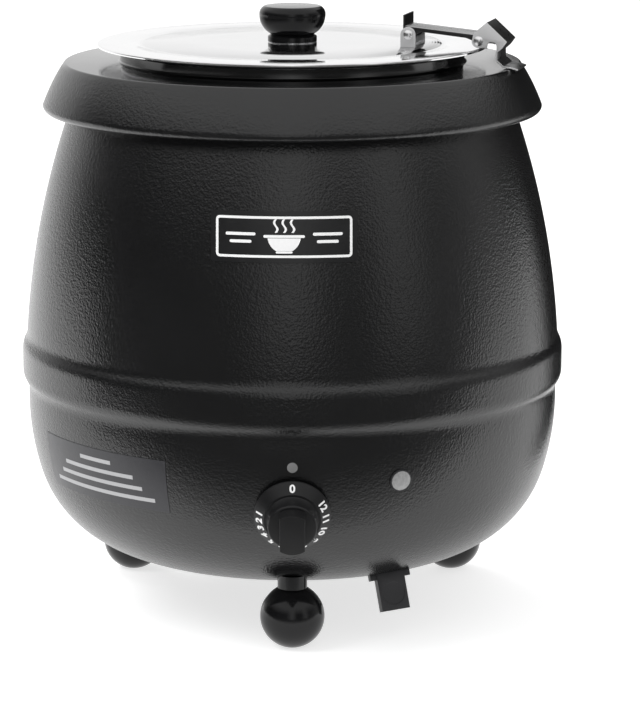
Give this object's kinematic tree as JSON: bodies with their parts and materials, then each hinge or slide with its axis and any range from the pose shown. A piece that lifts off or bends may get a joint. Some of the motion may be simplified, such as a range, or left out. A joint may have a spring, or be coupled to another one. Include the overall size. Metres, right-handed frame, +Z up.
{
  "type": "soup kettle",
  "caption": "Electric wet-well soup kettle: barrel casing on ball feet, flared collar, lift-out pot, lid on a swinging arm, dial thermostat and indicator lamp.",
  "frame": {"origin": "on the standing plane under the feet, on the kettle's own upright axis", "axes": "+Z up along the kettle's axis, -Y out through the control dial, +X to the right of someone facing the dial"},
  "size_m": [0.3212, 0.3406, 0.3556],
  "materials": {
    "powder_coat": "black textured powder coat, half gloss",
    "phenolic": "polished black phenolic",
    "dial_plastic": "black moulded dial with pale numbers",
    "lid_steel": "mirror-polished stainless steel",
    "pot_steel": "satin stainless steel",
    "hinge_steel": "bright stainless pressings",
    "fastener_steel": "zinc-plated steel",
    "sealing_rubber": "red silicone",
    "aluminium": "cast, as machined",
    "element_sheath": "heat-darkened sheath",
    "copper": "drawn copper tube",
    "moulded_plastic": "black moulded nylon",
    "lamp_lens": "pale translucent lens, unlit",
    "dot_paint": "grey pip",
    "plate_print": "black plate with a white printed frame and motif",
    "label_print": "dark film with plain pale bars"
  },
  "bodies": {
    "housing": {"base_plate": "powder_coat", "base_screws": "fastener_steel", "capillary_tube": "copper", "collar_screws": "fastener_steel", "foot_ball_front": "phenolic", "foot_ball_left": "phenolic", "foot_ball_right": "phenolic", "foot_nuts": "fastener_steel", "foot_spacer_front": "powder_coat", "foot_spacer_left": "powder_coat", "foot_spacer_right": "powder_coat", "foot_studs": "fastener_steel", "gland_body": "moulded_plastic", "gland_clamp": "moulded_plastic", "gland_nut": "moulded_plastic", "gland_screw": "fastener_steel", "heat_spreader": "aluminium", "heater_clamp": "fastener_steel", "heater_nut": "fastener_steel", "heater_stud": "fastener_steel", "heating_element": "element_sheath", "lamp_body": "moulded_plastic", "lamp_lens": "lamp_lens", "lamp_nut": "moulded_plastic", "nameplate": "plate_print", "outer_casing": "powder_coat", "pointer_dot": "dot_paint", "safety_label": "label_print", "sensing_bulb": "fastener_steel", "terminal_block": "moulded_plastic", "terminal_shelf": "fastener_steel", "thermal_cutout": "moulded_plastic", "thermostat_body": "moulded_plastic", "thermostat_plate": "fastener_steel", "thermostat_screws": "fastener_steel", "top_collar": "powder_coat", "water_well": "pot_steel", "well_gasket": "sealing_rubber"},
    "dial": {"control_knob": "dial_plastic", "thermostat_spindle": "fastener_steel"},
    "pot": {"inner_pot": "pot_steel"},
    "clip": {"hinge_clip": "hinge_steel", "clip_hinge_pin": "hinge_steel"},
    "arm": {"hinge_arm": "hinge_steel"},
    "lid": {"lid_disc": "lid_steel", "lid_handle": "phenolic", "handle_washer": "fastener_steel", "handle_screw": "fastener_steel", "lid_bracket": "hinge_steel", "bracket_rivets": "hinge_steel", "lid_hinge_pin": "hinge_steel"}
  },
  "joints": [
    {"name": "dial_turn", "type": "hinge", "parent": "housing", "child": "dial", "pos_m": [0, -0.15236, 0.088], "axis": [0, 0.9677, 0.252], "range_deg": [0, 305]},
    {"name": "lid_set_lift", "type": "slide", "parent": "housing", "child": "clip", "axis": [0, 0, 1], "range_m": [0, 0.3]},
    {"name": "pot_lift", "type": "slide", "parent": "housing", "child": "pot", "axis": [0, 0, 1], "range_m": [0, 0.3]},
    {"name": "arm_pivot", "type": "hinge", "parent": "clip", "child": "arm", "pos_m": [0.11012, -0.0295, 0.3392], "axis": [0.2588, 0.9659, 0], "range_deg": [0, 85]},
    {"name": "lid_pivot", "type": "hinge", "parent": "arm", "child": "lid", "pos_m": [0.07003, -0.01876, 0.3417], "axis": [0.2588, 0.9659, 0], "range_deg": [0, 13]}
  ],
  "couplings": [
    {"joint": "pot_lift", "follows": "lid_set_lift", "ratio": 1},
    {"joint": "lid_pivot", "follows": "arm_pivot", "ratio": 0.15}
  ]
}
